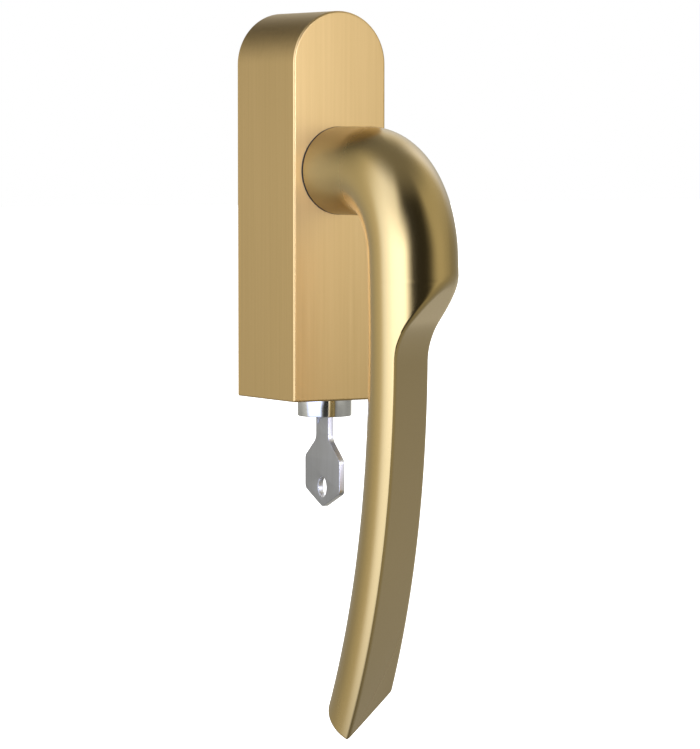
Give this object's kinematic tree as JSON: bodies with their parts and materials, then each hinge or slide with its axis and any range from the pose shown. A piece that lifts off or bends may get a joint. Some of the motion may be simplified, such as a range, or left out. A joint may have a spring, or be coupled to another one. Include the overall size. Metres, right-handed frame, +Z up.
{
  "type": "keyed window lock",
  "caption": "Lockable tilt-and-turn window handle: bent lever with a scooped grip on a deep round-topped rose, square spindle, and a key cylinder whose bolt blocks the handle.",
  "frame": {"origin": "on the spindle's axis, in the plane where the rose meets the window sash", "axes": "+Z up along the rose, -Y out of the window into the room along the spindle, +X to the right seen from the room"},
  "size_m": [0.027, 0.0932, 0.1845],
  "materials": {
    "brushed_brass": "vertically brushed, lacquered",
    "satin_brass": "satin, bead-blasted",
    "nickel": "polished nickel plate",
    "key_steel": "stamped and nickel plated",
    "zinc": "die-cast zinc alloy",
    "steel": "zinc plated",
    "screw_steel": "zinc plated",
    "spring_steel": "drawn wire",
    "wafer_brass": "stamped",
    "nylon": "moulded",
    "gasket": "closed-cell foam"
  },
  "bodies": {
    "housing": {"rose_cover": "brushed_brass", "neck_bush": "nylon", "cover_plate": "steel", "chassis": "zinc", "base_plate": "zinc", "mounting_gasket": "gasket", "detent_ball_left": "steel", "detent_ball_right": "steel", "detent_spring_left": "spring_steel", "detent_spring_right": "spring_steel", "fixing_screw_upper": "screw_steel", "fixing_screw_lower": "screw_steel", "chassis_screw_upper": "screw_steel", "chassis_screw_lower": "screw_steel", "plate_screw_upper_left": "screw_steel", "plate_screw_upper_right": "screw_steel", "plate_screw_lower_left": "screw_steel", "plate_screw_lower_right": "screw_steel", "cover_grub_screw": "screw_steel", "barrel_grub_screw": "screw_steel", "lock_barrel": "nickel"},
    "handle": {"lever_handle": "satin_brass", "handle_grub_screw": "screw_steel", "retaining_ring": "spring_steel", "thrust_washer": "steel", "detent_disc": "steel", "square_spindle": "steel"},
    "plug": {"lock_plug": "nickel", "lock_cam": "steel", "wafer_1": "wafer_brass", "wafer_2": "wafer_brass", "wafer_3": "wafer_brass", "wafer_4": "wafer_brass", "wafer_5": "wafer_brass"},
    "bolt": {"locking_bolt": "steel", "bolt_spring": "spring_steel"},
    "key": {"key": "key_steel"}
  },
  "joints": [
    {"name": "handle_turn", "type": "hinge", "parent": "housing", "child": "handle", "pos_m": [0, 0, 0], "axis": [0, -1, 0], "range_deg": [0, 180]},
    {"name": "key_turn", "type": "hinge", "parent": "housing", "child": "plug", "pos_m": [0, -0.0221, 0], "axis": [0, 0, 1], "range_deg": [0, 90]},
    {"name": "bolt_slide", "type": "slide", "parent": "housing", "child": "bolt", "axis": [0, 0, 1], "range_m": [0, 0.0037], "deforming": ["bolt_spring"]},
    {"name": "key_withdraw", "type": "slide", "parent": "plug", "child": "key", "axis": [0, 0, -1], "range_m": [0, 0.025]}
  ],
  "couplings": [
    {"joint": "key_turn", "follows": "bolt_slide", "rad_per_m": 424.5}
  ]
}
